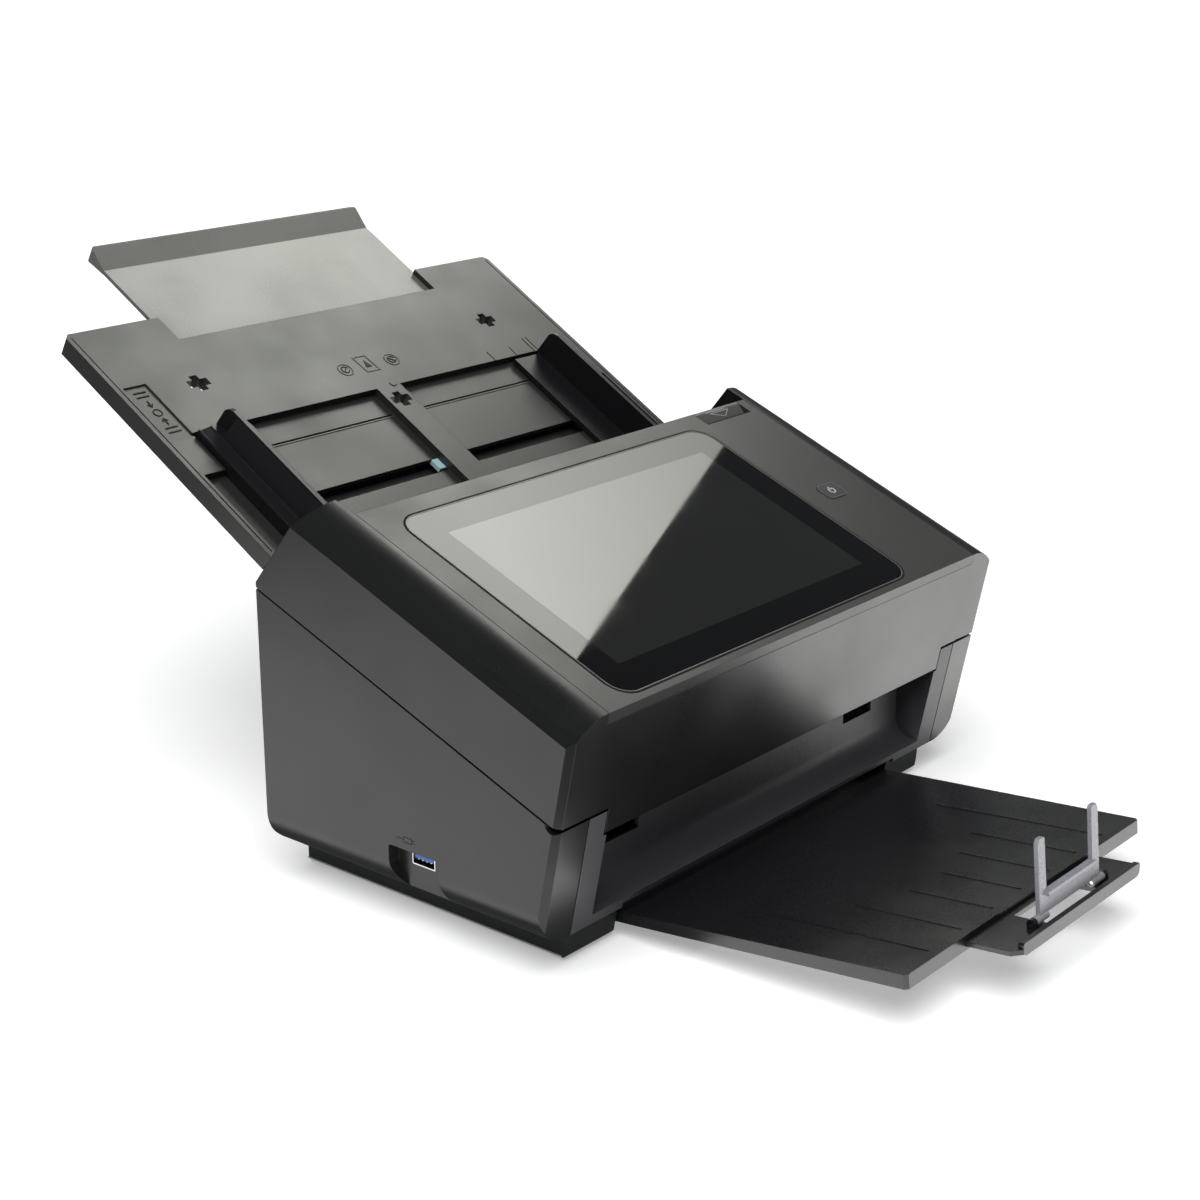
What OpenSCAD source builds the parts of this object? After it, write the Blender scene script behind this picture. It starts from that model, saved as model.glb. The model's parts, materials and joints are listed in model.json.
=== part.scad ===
// Desktop sheet fed document scanner with a touch screen in its opening cover.
// Millimetres. +X is the right side seen from the front, +Y the rear, +Z up.
// The origin is the middle of the whole footprint, on the desk.

/* [Body] */
// Width over the side covers
body_w = 316; // [312:1:322]
// Thickness of the plastic walls
wall = 2.5; // [2:0.1:2.8]
// Slope of the top panel, in degrees
top_slope = 21.75; // [21.5:0.05:22]
// Height of the line where the cover meets the lower body, at the front
seam_z = 71; // [70.5:0.1:71.2]
// Width of the output opening
mouth_w = 250; // [240:1:252]

/* [Screen] */
// Width of the glass
glass_w = 210; // [190:1:212]
// Height of the glass along the slope
glass_h = 133; // [128:1:133]

/* [Paper path] */
// Slope of the input tray and of the paper path, in degrees
path_slope = 30.5; // [30.3:0.05:30.7]
// Height of the paper guides above the tray
guide_h = 16; // [8:0.5:17]
// How far each paper guide can travel
guide_travel = 80; // [40:1:80]
// Radius of the driven feed rollers
feed_r = 11; // [10.5:0.1:11]

/* [Trays] */
// How far the input extension stands out at rest
extension_out = 55; // [40:1:58]
// Slope of the output tray, in degrees
out_slope = 6; // [5.8:0.1:6.2]
// Height of the paper stopper
stopper_h = 34; // [20:0.5:36]

/* [Hidden] */
$fn = 64;
side_x = body_w / 2;

// The drawing frame has y = 0 near the middle of the body, so it is moved to the footprint's middle.
frame_y = -31;

// Points of the side outline, as [y, z] in the drawing frame
front_seam = [-75.2, 71.3];
front_top = [-84.4, 118.1];
rear_y = 95.5;
cut_low = [rear_y, 140];
cut_lean = 51;
casing_z = 16;
seam_slope = 21.1;
seam_gap = 0.9;
top_length = 149.3;
panel_x = 137.5;
shoulder_r = 24.6;
front_lean = atan2(front_seam[0] - front_top[0], front_top[1] - front_seam[1]);
front_normal = [-cos(front_lean), -sin(front_lean)];

// Shafts along the paper path, as [distance along the path, height over it]
pick_at = [-222, 0.6 - feed_r];
feed_at = [-268, 0.6 - feed_r];
idler_at = [-248, 0.6 - feed_r];
motor_at = [-268, 0.6 - feed_r - 18];
exit_r = 9;
exit_at = [-322, 0.6 - exit_r];
brake_r = 10;
pinch_r = 8;
exit_pinch_r = 7;
roller_gap = 0.1;
brake_at = [-222, 0.6 + roller_gap + brake_r];
pinch_at = [-268, 0.6 + roller_gap + pinch_r];
exit_pinch_at = [-322, 0.6 + roller_gap + exit_pinch_r];
deck_x = 136.5;
plate_in = 140;
plate_t = 2;
shaft_r = 3;
bush_r = 5;
running = 0.05;

// Hinge of the cover, and pivot of its latch, as [y, z]
hinge_at = [-72.6, 73.9];
hinge_pin_r = 1.2;
lug_r = 2.2;
latch_at = [134, -14];
latch_r = 2.5;

// Input tray, in its own sloping frame
tray_x = 143.3;
tongue_x = 136.5;
tray_deep = 12;
recess_deep = 4;
pinion_s = -130.5;
pinion_teeth = 12;
rack_module = 0.8;
pinion_r = rack_module * pinion_teeth / 2;

// Output tray, in its own sloping frame
out_front = -99.6;
ext_front = -123.6;

// ---------- frames and shared shapes ----------

module along_x(x0, x1) {
  translate([x0, frame_y, 0]) rotate([90, 0, 90]) linear_extrude(x1 - x0) children();
}

module on_top() {
  translate([0, front_top[0] + frame_y, front_top[1]]) rotate([top_slope, 0, 0]) children();
}

// The paper plane: local y runs up the slope, from 0 at the input tray's top edge
module on_path() {
  translate([0, 237.3 + frame_y, 226.6]) rotate([path_slope, 0, 0]) children();
}

// A shape drawn in the paper plane's side view, extruded across the machine
module across_path(x0, x1) {
  on_path() translate([x0, 0, 0]) rotate([90, 0, 90]) linear_extrude(x1 - x0) children();
}

module on_output() {
  translate([0, -100 + frame_y, 16]) rotate([-out_slope, 0, 0]) children();
}

// The front face: local y runs up the face, local z points out of it
module on_front() {
  translate([0, front_seam[0] + frame_y, front_seam[1]]) rotate([90 + front_lean, 0, 0]) children();
}

// A box from its low corner to its high corner
module block(low, high) {
  translate(low) cube(high - low);
}

module both_sides() {
  children();
  mirror([1, 0, 0]) children();
}

module rod(at, x0, x1, r) {
  across_path(x0, x1) translate(at) circle(r);
}

module tube(at, x0, x1, r, hole) {
  across_path(x0, x1) translate(at) difference() {
    circle(r);
    circle(hole);
  }
}

module rounded(w, h, r) {
  union() {
    square([w - 2 * r, h], center = true);
    square([w, h - 2 * r], center = true);
    for (sx = [-1, 1], sy = [-1, 1]) translate([sx * (w / 2 - r), sy * (h / 2 - r)]) circle(r);
  }
}

function seam_height(y) = seam_z + (y + 75.2) * tan(seam_slope);
function front_y(z) = front_seam[0] - (z - front_seam[1]) * tan(front_lean);
function top_height(y) = front_top[1] + (y - front_top[0]) * tan(top_slope);

// Involute spur gear outline with some backlash, with a tooth centred on the local x axis
function spread(base, r) = r <= base ? 0 : tan(acos(base / r)) * 180 / PI - acos(base / r);
function tooth_half(n, m, r) =
  90 / n * 0.9 + spread(m * n / 2 * cos(20), m * n / 2) - spread(m * n / 2 * cos(20), r);
function gear_points(n, m) = [
  for (i = [0 : n - 1])
    for (k = [-4, -3, -2, -1, 1, 2, 3, 4])
      let (
        r = m * (n / 2 - 1.2) + m * 2 * (4 - abs(k)) / 3,
        angle = 360 / n * i + sign(k) * tooth_half(n, m, r)
      )
      [r * cos(angle), r * sin(angle)]
];

module gear(n, m, hole) {
  difference() {
    polygon(gear_points(n, m));
    circle(hole);
  }
}

// Rack teeth from x = 0 to x = count pitches; pitch line at y = 0, teeth pointing to +y
module rack_teeth(count, m) {
  pitch = PI * m;
  thin = 0.2 * pitch;
  for (i = [0 : count - 1])
    translate([(i + 0.5) * pitch, 0]) polygon([
      [-thin - 1.2 * m * tan(20), -1.3 * m], [thin + 1.2 * m * tan(20), -1.3 * m],
      [thin - 0.8 * m * tan(20), 0.8 * m], [-thin + 0.8 * m * tan(20), 0.8 * m]
    ]);
}

// Straight lines of the cover's side outline, as [normal y, normal z, distance]
function line(normal, point) = [normal[0], normal[1], normal[0] * point[0] + normal[1] * point[1]];
function inward(l, t) = [l[0], l[1], l[2] - t];
function meet(a, b) =
  let (det = a[0] * b[1] - a[1] * b[0])
    [(a[2] * b[1] - b[2] * a[1]) / det, (a[0] * b[2] - b[0] * a[2]) / det];
front_line = line(front_normal, front_seam);
top_line = line([-sin(top_slope), cos(top_slope)], front_top);
cut_line = line([sin(cut_lean), cos(cut_lean)], cut_low);
rear_line = line([1, 0], [rear_y, 0]);

// ---------- lower body ----------

plinth_x = 134.5;
bay_x = 103.5;
plinth_y = [-61.5, 98];
foot_h = 2;

module base_plinth() {
  color("#2b2c2e") difference() {
    intersection() {
      along_x(-plinth_x, plinth_x) polygon([
        [plinth_y[0] + 2.5, 3.5], [plinth_y[0] + 4, foot_h], [plinth_y[1] - 1.5, foot_h],
        [plinth_y[1], 3.5], [plinth_y[1], casing_z], [plinth_y[0], casing_z]
      ]);
      translate([0, (plinth_y[0] + plinth_y[1]) / 2 + frame_y, 0]) linear_extrude(casing_z)
        rounded(2 * plinth_x, plinth_y[1] - plinth_y[0], 4);
    }
    // Bay for the output tray
    along_x(-bay_x, bay_x) polygon([[-64, 0], [54, 0], [54, casing_z + 1], [-64, casing_z + 1]]);
    // Hollow side boxes and rear box
    both_sides() along_x(bay_x + 7, plinth_x - wall) polygon([
      [plinth_y[0] + wall, 5], [plinth_y[1] - 6, 5], [plinth_y[1] - 6, casing_z + 1],
      [plinth_y[0] + wall, casing_z + 1]
    ]);
    along_x(-bay_x, bay_x) polygon([[57, 5], [92, 5], [92, casing_z + 1], [57, casing_z + 1]]);
    // Grooves for the tray's runners
    both_sides() along_x(bay_x - 1, bay_x + 3.6) translate([-51, 8.2]) rotate(-3)
      translate([-2, -1.7]) square([100, 3.4]);
  }
}

module rubber_feet() {
  color("#1a1a1a") for (sx = [-1, 1], y = [-40, 82])
    translate([sx * 119, y + frame_y, 0]) cylinder(r = 8, h = foot_h);
}

stud_at = [39, 108];
plate_top = 3;

module side_plate() {
  along_x(plate_in, plate_in + plate_t) union() {
    polygon([
      [87, 20.6], [92.5, 27.5], [92.5, seam_height(92.5) - plate_top],
      [-62, seam_height(-62) - plate_top],
      [-66, 69], [-66, 60], [-60, 24], [-49, 20.6]
    ]);
    translate(hinge_at) circle(lug_r);
    translate(hinge_at) rotate(-40) translate([0, -1.6]) square([11, 3.2]);
  }
}

module chassis() {
  color("#9b9fa3") difference() {
    union() {
      both_sides() {
        side_plate();
        along_x(136, plate_in + plate_t) polygon([[-49, 20.6], [87, 20.6], [87, 22.6], [-49, 22.6]]);
        along_x(136, 138.2) polygon([[-49, casing_z], [92.5, casing_z], [92.5, 22.6], [-49, 22.6]]);
      }
      along_x(-138.2, 138.2) polygon([[-49, casing_z], [92.5, casing_z], [92.5, 20], [-49, 20]]);
      // Cross bars under the tray's tongue and behind the output chute
      across_path(-plate_in - 0.5, plate_in + 0.5) translate([-186, -10]) square([8, 3.3]);
      along_x(-plate_in, plate_in) translate([-48, 22]) square([2, 10]);
      // Stud of the idler gear
      rod(idler_at, plate_in + 0.5, 149, 2);
      // Posts of the main board
      for (x = [-90, 90], y = [-34, 78])
        translate([x, y + frame_y, 20]) cylinder(r = 3, h = 5);
    }
    both_sides() for (at = [pick_at, feed_at, exit_at]) rod(at, plate_in - 1, plate_in + 3, bush_r);
    both_sides() along_x(plate_in - 1, plate_in + plate_t + 1) translate(hinge_at)
      circle(hinge_pin_r + running);
    rod(motor_at, plate_in - 1, plate_in + 3, 3.5);
    // Window behind the side port
    along_x(-plate_in - 3, -plate_in + 1) translate([-14, 30]) square([28, 14]);
    // Openings that lighten the side plates
    both_sides() along_x(plate_in - 1, plate_in + 3) translate([30, 32]) square([48, 30]);
  }
}

// Outline of the lower casing seen from the side; t is how far it lies inside the surface
module casing_outline(t) {
  union() {
    polygon([
      meet(inward(front_line, t), [0, 1, casing_z + t]),
      [rear_y - 8, casing_z + t], [rear_y - t, casing_z + 8],
      [rear_y - t, seam_height(rear_y) + 10 * min(t, 1)],
      [front_y(seam_z) + t, seam_z + 10 * min(t, 1)],
    ]);
    translate([rear_y - 8, casing_z + 8]) circle(8 - t);
  }
}

// The casing's cross section seen from the front, with its rounded lower corners
module casing_section(t) {
  union() {
    translate([-side_x + t, casing_z + 17]) square([body_w - 2 * t, 160]);
    translate([-side_x + 17, casing_z + t]) square([body_w - 34, 30]);
    for (sx = [-1, 1]) translate([sx * (side_x - 17), casing_z + 17]) circle(17 - t);
  }
}

module casing_solid(t, x0) {
  intersection() {
    along_x(x0, side_x) casing_outline(t);
    translate([0, 100, 0]) rotate([90, 0, 0]) linear_extrude(260) casing_section(t);
  }
}

// The corner between the front face and the sides is bevelled
module front_bevels() {
  for (sx = [-1, 1]) on_front() translate([sx * side_x, 0, 0]) rotate([0, 45, 0])
    cube([2.8 * sqrt(2), 240, 2.8 * sqrt(2)], center = true);
}

module right_casing() {
  difference() {
    casing_solid(0, 138.5);
    casing_solid(wall, 137);
    front_bevels();
    along_x(130, side_x + 1) translate(hinge_at) circle(4.1);
  }
  along_x(149.5, side_x - 1) translate(stud_at) circle(2.5);
}

port_y = [-9.4, 19.5];
port_z = [15, 39.5];
socket_at = [4.6, 33.8];
port_floor = 152;

module left_side_cover() {
  color("#3a3b3c") difference() {
    union() {
      mirror([1, 0, 0]) right_casing();
      intersection() {
        mirror([1, 0, 0]) casing_solid(0, 138.5);
        along_x(-side_x + 1, -port_floor + 2) translate([port_y[0] - 1.5, casing_z])
          square([port_y[1] - port_y[0] + 3, port_z[1] + 1.5 - casing_z]);
      }
    }
    // Recess round the side port, open at the bottom
    along_x(-side_x - 1, -port_floor) polygon([
      [port_y[0], port_z[1]], [port_y[1] - 1, port_z[1]], [port_y[1], port_z[1] - 1],
      [port_y[1], 30], [port_y[1] - 1.5, 25.5], [port_y[1] - 5, 21], [port_y[1] - 8, 19],
      [port_y[1] - 9, port_z[0]], [port_y[0] - 3, port_z[0]], [port_y[0] - 1.4, 22], [port_y[0], 27]
    ]);
    along_x(-port_floor - 1, -port_floor + 3) translate(socket_at) square([13.4, 5.9], center = true);
  }
}

module right_side_cover() {
  color("#3a3b3c") right_casing();
}

mouth_x = mouth_w / 2;
chute_x = 137.8;
chute_back = -52;

module output_chute() {
  color("#3d3e40") difference() {
    union() {
      // Front strips beside the mouth
      both_sides() along_x(mouth_x + 2, chute_x) polygon([
        [front_y(casing_z), casing_z], [front_y(casing_z) + wall, casing_z],
        [front_y(seam_z) + wall, seam_z], [front_y(seam_z), seam_z]
      ]);
      // Cheeks of the mouth
      both_sides() along_x(mouth_x, mouth_x + wall) polygon([
        [front_y(casing_z), casing_z], [chute_back + wall, casing_z], [chute_back + wall, 46],
        [-58.5, 51], [-66, 59], [front_y(59), 59]
      ]);
      along_x(-chute_x, chute_x) polygon([
        [front_y(casing_z), casing_z], [chute_back + wall, casing_z], [chute_back + wall, 22],
        [-60, 21.2], [front_y(20.5), 20.5]
      ]);
      // Back wall with its curved foot
      along_x(-mouth_x, mouth_x) difference() {
        translate([-62, 20]) square([12.5, 29]);
        translate([-62, 31]) circle(10);
        translate([-70, 31]) square([18, 20]);
      }
    }
    // Windows in front of the exit rollers
    for (x = [-90, 90]) along_x(x - 12, x + 12) translate([-54, 40.5]) square([8, 5.5]);
    both_sides() along_x(mouth_x + 2, chute_x + 1) translate(hinge_at) circle(4.1);
    // Room for the tray sliding in below the lip
    along_x(-bay_x - 1, bay_x + 1) translate([-70, casing_z - 1]) square([30, 3]);
    // Comb along the top of the back wall
    for (i = [-14 : 14]) along_x(i * 8 - 0.8, i * 8 + 0.8) translate([-54, 47.2]) square([8, 3]);
  }
}

module rear_cover() {
  color("#343536") difference() {
    along_x(-chute_x, chute_x) translate([rear_y - wall, casing_z + 0.2]) square([wall, 115]);
    along_x(-69, -51) translate([90, 25]) square([8, 14.5]);
    along_x(-42, -28) translate([90, 25]) square([8, 12]);
    along_x(73, 87) translate([90, 25]) square([8, 12]);
    for (i = [0 : 11]) along_x(-104, -30) translate([90, 62 + i * 4]) square([8, 1.6]);
  }
}

// ---------- paper path in the lower body ----------

pick_x = [14, 36];
feed_x = [34, 60];
exit_x = [[26, 44], [81, 99]];
sensor_s = [-305, -285];

module window_at(at, span, reach) {
  both_sides() across_path(span[0] - 1.5, span[1] + 1.5) translate([at[0] - reach, -8])
    square([2 * reach, 20]);
}

module feed_deck() {
  color("#4a4b4d") difference() {
    union() {
      across_path(-deck_x, deck_x) translate([-342, -2.5]) square([135, 2.5]);
      both_sides() across_path(deck_x - 2.5, deck_x) translate([-338, -5]) square([131, 3]);
    }
    window_at(pick_at, pick_x, 12);
    window_at(feed_at, feed_x, 12);
    for (span = exit_x) window_at(exit_at, span, 10);
    across_path(-112.5, 112.5) translate([sensor_s[0] + 1.5, -8])
      square([sensor_s[1] - sensor_s[0] - 3, 20]);
    // Comb along the front edge
    for (i = [-11 : 11]) across_path(i * 10 - 1, i * 10 + 1) translate([-343, -3]) square([5, 4]);
  }
}

module lower_image_sensor() {
  color("#202124") difference() {
    union() {
      across_path(-116, 116) translate([sensor_s[0], -18]) square([20, 15.4]);
      across_path(-112, 112) translate([sensor_s[0] + 2, -3]) square([16, 2.6]);
    }
    across_path(-110, 110) translate([sensor_s[0] + 3, -1.6]) square([14, 3]);
  }
}

module lower_sensor_glass() {
  color("#8fb3b0") across_path(-110, 110) translate([sensor_s[0] + 3, -1.6]) square([14, 1.4]);
}

board_z = 25;

module main_board() {
  color("#1d6b3c") difference() {
    block([-97, -40 + frame_y, board_z], [97, 84 + frame_y, board_z + 1.6]);
    for (x = [-90, 90], y = [-34, 78])
      translate([x, y + frame_y, board_z - 1]) cylinder(r = 1.6, h = 4);
  }
}

module board_components() {
  top = board_z + 1.6;
  color("#2a2a2c") {
    block([-30, -10 + frame_y, top], [0, 20 + frame_y, top + 2.4]);
    block([15, 0 + frame_y, top], [31, 16 + frame_y, top + 1.6]);
    block([40, 4 + frame_y, top], [52, 20 + frame_y, top + 1.6]);
    block([-80, 30 + frame_y, top], [-56, 44 + frame_y, top + 6]);
    for (i = [0 : 3]) translate([20 + i * 14, 52 + frame_y, top]) cylinder(r = 4, h = 10);
  }
}

module drive_motor() {
  color("#6d7073") difference() {
    union() {
      rod(motor_at, 104, 138.4, 14);
      across_path(138.4, plate_in) translate([motor_at[0] - 20, motor_at[1] - 9]) square([40, 18]);
    }
    rod(motor_at, 120, plate_in + 1, 2.5 + running);
  }
}

module motor_pinion() {
  color("#c9a24a") {
    rod(motor_at, 121, 149, 2.5);
    across_path(144, 149) translate(motor_at) rotate(15) gear(12, 1, 2.5);
  }
}

module shaft_bushes() {
  color("#b98a4e") both_sides() for (at = [pick_at, feed_at, exit_at]) {
    tube(at, plate_in - 0.8, plate_in, 6.5, shaft_r + running);
    tube(at, plate_in, plate_in + plate_t, bush_r, shaft_r + running);
  }
}

module feed_shaft() {
  color("#b9bdc1") rod(feed_at, -143, 154.4, shaft_r);
}

module roller_pair(at, span, r) {
  for (sx = [-1, 1]) {
    x0 = sx > 0 ? span[0] : -span[1];
    tube(at, x0, x0 + span[1] - span[0], r, shaft_r);
  }
}

module feed_rollers() {
  color("#2f3032") roller_pair(feed_at, feed_x, feed_r);
}

module feed_gear() {
  color("#e4e2d8") across_path(144, 148.5) translate(feed_at) gear(24, 1, shaft_r);
}

belt_x = [149.8, 153.2];
feed_pulley_r = 9;
exit_pulley_r = feed_pulley_r * exit_r / feed_r;

module pulley(at, r) {
  tube(at, belt_x[0] - 0.2, belt_x[1] + 0.2, r, shaft_r);
}

module feed_pulley() {
  color("#d8d5c8") pulley(feed_at, feed_pulley_r);
}

module exit_pulley() {
  color("#d8d5c8") pulley(exit_at, exit_pulley_r);
}

module belt_loop(grow) {
  hull() {
    translate(feed_at) circle(feed_pulley_r + grow, $fn = 72);
    translate(exit_at) circle(exit_pulley_r + grow, $fn = 72);
  }
}

module timing_belt() {
  color("#1c1c1c") across_path(belt_x[0], belt_x[1]) difference() {
    belt_loop(1.3);
    belt_loop(0.1);
  }
}

module pick_shaft() {
  color("#b9bdc1") rod(pick_at, -143, 149.2, shaft_r);
}

module pick_rollers() {
  color("#46484a") roller_pair(pick_at, pick_x, feed_r);
}

module pick_gear() {
  color("#e4e2d8") across_path(144, 148.5) translate(pick_at) gear(36, 1, shaft_r);
}

module exit_shaft() {
  color("#b9bdc1") rod(exit_at, -143, 154.4, shaft_r);
}

module exit_rollers() {
  color("#2f3032") for (span = exit_x) roller_pair(exit_at, span, exit_r);
}

module idler_gear() {
  color("#d9c9a0") across_path(144, 148.5) translate(idler_at) rotate(180 / 16)
    gear(16, 1, 2 + running);
}

// ---------- ports and screws ----------

module usb_port() {
  color("#b7babd") difference() {
    along_x(-port_floor, -port_floor + 14) translate(socket_at) square([13.1, 5.6], center = true);
    along_x(-port_floor - 1, -port_floor + 12) translate(socket_at) square([12.3, 4.8], center = true);
  }
  color("#2458c8") along_x(-port_floor + 0.8, -port_floor + 13) translate(socket_at + [0, 0.9])
    square([11, 1.8], center = true);
}

module rear_port(x, w, h, deep) {
  translate([x - w / 2, rear_y - 0.6 - deep + frame_y, board_z + 1.6]) cube([w, deep, h]);
}

module network_port() {
  color("#b7babd") difference() {
    rear_port(-60, 16, 12.9, 20);
    translate([-65.9, rear_y - 15 + frame_y, board_z + 4]) cube([11.8, 20, 8.4]);
  }
}

module usb_device_port() {
  color("#b7babd") difference() {
    rear_port(-35, 12, 10.4, 16);
    translate([-39.6, rear_y - 12 + frame_y, board_z + 3]) cube([9.2, 20, 7.8]);
  }
  color("#f0f0ee") translate([-37.6, rear_y - 12.6 + frame_y, board_z + 5.4]) cube([5.2, 11, 3]);
}

module power_inlet() {
  color("#1b1b1c") {
    difference() {
      rear_port(80, 12, 10.4, 15);
      translate([80, rear_y + 1 + frame_y, board_z + 6.8]) rotate([90, 0, 0]) cylinder(r = 3, h = 11);
    }
    translate([80, rear_y - 1.6 + frame_y, board_z + 6.8]) rotate([90, 0, 0]) cylinder(r = 1, h = 9);
  }
}

module screw(r, head) {
  difference() {
    cylinder(r = r, h = head);
    for (a = [0, 90]) rotate(a) translate([-r * 0.6, -0.35, head - 0.8]) cube([r * 1.2, 0.7, 1]);
  }
}

module chassis_screws() {
  color("#8d9094") {
    for (x = [-126, 126], z = [30, 120])
      translate([x, rear_y + frame_y, z]) rotate([-90, 0, 0]) screw(3, 1.6);
    for (x = [-90, 90], y = [-34, 78])
      translate([x, y + frame_y, board_z + 1.6]) screw(2.8, 1.8);
    both_sides() along_x(137.4, plate_in) translate([60, 26]) circle(2.6);
  }
}

// ---------- cover ----------

module cover_outline(t, bottom) {
  polygon([
    meet(inward(front_line, t), [0, 1, bottom < 0 ? 40 : seam_z + seam_gap]),
    meet(inward(front_line, t), inward(top_line, t)),
    meet(inward(top_line, t), inward(cut_line, t)),
    meet(inward(cut_line, t), inward(rear_line, t)),
    [rear_y - t, bottom < 0 ? 40 : seam_height(rear_y) + seam_gap]
  ]);
}

module shoulders(t) {
  union() {
    translate([-panel_x, -200]) square([2 * panel_x, 200 - t]);
    translate([-side_x + t, -200]) square([body_w - 2 * t, 200 - shoulder_r]);
    for (sx = [-1, 1]) intersection() {
      translate([sx * panel_x, -shoulder_r]) circle(shoulder_r - t, $fn = 128);
      translate([-side_x + t, -shoulder_r - 1]) square([body_w - 2 * t, shoulder_r + 1]);
    }
  }
}

module cover_block(t, bottom) {
  intersection() {
    along_x(-side_x + t, side_x - t) cover_outline(t, bottom);
    on_top() translate([0, 250, 0]) rotate([90, 0, 0]) linear_extrude(320) shoulders(t);
  }
}

ear_in = 138;
back_y = 54.3;
panel_t = 3;
skirt_x = 126.3;
skirt_z = 60.2;
lever_x = [95.4, 131.5];

module across_top(x0, x1) {
  on_top() translate([x0, 0, 0]) rotate([90, 0, 90]) linear_extrude(x1 - x0) children();
}

module top_section(gap) {
  polygon([
    [-2 * gap - 0.03, gap], [top_length + gap, gap], [top_length + gap, -panel_t], [2.2, -panel_t],
    [1.6, -4.9 - gap], [-0.94 - 2 * gap, -4.9 - gap]
  ]);
}

module cover_shell() {
  color("#3a3b3c") difference() {
    union() {
      difference() {
        cover_block(0, 1);
        cover_block(wall, -1);
      }
      // Rear wall, and the inner walls of the two ears
      intersection() {
        cover_block(0, 1);
        union() {
          along_x(-ear_in - wall, ear_in + wall) translate([back_y - wall, 60]) square([wall, 150]);
          both_sides() along_x(ear_in, ear_in + wall) translate([back_y - wall, 60]) square([80, 150]);
        }
      }
      // Skirt over the output mouth
      along_x(-skirt_x, skirt_x) polygon([
        [front_y(skirt_z), skirt_z], [front_y(skirt_z) + wall, skirt_z],
        [front_y(seam_z + 3) + wall, seam_z + 3], [front_y(seam_z + 3), seam_z + 3]
      ]);
      both_sides() along_x(136.3, 146) translate(hinge_at) circle(2.6);
      // Bearings of the latch shaft
      intersection() {
        cover_block(0, 1);
        both_sides() across_top(125, 128) translate([128, -18]) square([18, 14]);
      }
    }
    along_x(-ear_in, ear_in) translate([back_y, 40]) square([80, 160]);
    along_x(-ear_in, ear_in) translate([back_y - wall - 1, 60]) square([wall + 2, 67]);
    across_top(-panel_x, panel_x) top_section(0.15);
    on_top() block([-130, 8, -20], [130, 128, 1]);
    on_top() block([lever_x[0], 128, -7], [lever_x[1], 160, 1]);
    across_top(-150, 150) translate(latch_at) circle(latch_r + running);
    front_bevels();
    both_sides() along_x(136, 146.5) translate(hinge_at) circle(hinge_pin_r);
    // Pockets for the hinge lugs of the chassis
    both_sides() along_x(plate_in - 0.4, plate_in + plate_t + 0.4) translate(hinge_at) union() {
      circle(2.5);
      polygon([[0, 1], [12, -4], [10, -12], [-1, -12], [-6.8, -5.9]]);
    }
  }
}

glass_mid = [-18, 71.5];
button_at = [110.5, 70];

module top_panel() {
  color("#3c3d3e") difference() {
    across_top(-panel_x + 0.2, panel_x - 0.2) top_section(0);
    on_top() {
      translate([glass_mid[0], glass_mid[1], -1.1]) linear_extrude(3) rounded(glass_w + 0.4, glass_h + 0.4, 10.2);
      block([-110.5, 18.5, -5], [72.5, 124.5, 1]);
      translate([button_at[0], button_at[1], -5]) linear_extrude(8) rounded(15.4, 11.4, 3.2);
      block([lever_x[0], 139.8, -5], [lever_x[1], 151, 1]);
    }
  }
}

module screen_glass() {
  color("#101113") on_top() translate([glass_mid[0], glass_mid[1], -1.1]) linear_extrude(1.1)
    rounded(glass_w, glass_h, 10);
}

module display_module() {
  color("#17181a") on_top() {
    block([-110, 19, -panel_t], [72, 124, -1.1]);
    block([-114, 15, -7.5], [76, 128 - 0.5, -panel_t]);
  }
}

module control_board() {
  color("#1d6b3c") on_top() {
    block([-70, 30, -12], [70, 110, -10.4]);
    block([-20, 50, -10.4], [10, 80, -8.8]);
    block([98, 60, -9], [123, 80, -7.4]);
    translate([button_at[0], button_at[1], -7.4]) cylinder(r = 2, h = 1.4);
  }
}

module power_button() {
  color("#4a4b4d") on_top() translate([button_at[0], button_at[1], 0]) {
    translate([0, 0, -3.2]) linear_extrude(3.5) rounded(15, 11, 3);
    translate([0, 0, -4.7]) linear_extrude(1.5) rounded(18, 14, 4);
  }
}

frame_x = [133.5, 136];
guide_gap = 1.6;

module cover_frame() {
  color("#5b5d60") difference() {
    union() {
      both_sides() along_x(frame_x[0], frame_x[1]) polygon([
        [-58, 56.5], [-69.5, 64], [-78.5, top_height(-78.5) - 7], [50.5, top_height(50.5) - 7],
        [50.5, 121]
      ]);
      across_path(-frame_x[1], frame_x[1]) translate([-342, guide_gap]) square([108, 2.4]);
      across_path(-frame_x[1], frame_x[1]) polygon([
        [-234.5, guide_gap], [-234.5, 4], [-227, 7.6], [-225.5, 5.6]
      ]);
      // Stiffening ribs along the guide plate
      for (s = [-336, -312]) across_path(-frame_x[1], frame_x[1]) translate([s, 3]) square([2, 12]);
      across_path(-frame_x[1], frame_x[1]) translate([-252, 3]) square([2, 20]);
    }
    both_sides() {
      for (at = [brake_at, pinch_at, exit_pinch_at]) rod(at, frame_x[0] - 1, frame_x[1] + 1, 2 + running);
      across_top(frame_x[0] - 1, frame_x[1] + 1) translate(latch_at) circle(latch_r + running);
    }
    across_path(-34, 34) translate([brake_at[0] - 12, -2]) square([28, 40]);
    across_path(-64, 64) translate([pinch_at[0] - 9, -2]) square([18, 12]);
    across_path(-103, 103) translate([exit_pinch_at[0] - 8, -2]) square([16, 12]);
    across_path(-115, 115) translate([upper_s[0] - 0.5, -2]) square([21, 12]);
  }
}

upper_s = [-300, -280];

module upper_image_sensor() {
  color("#202124") difference() {
    across_path(-114, 114) translate([upper_s[0], 1.2]) square([20, 16.5]);
    across_path(-110, 110) translate([upper_s[0] + 3, 0]) square([14, 2.6]);
  }
}

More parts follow.
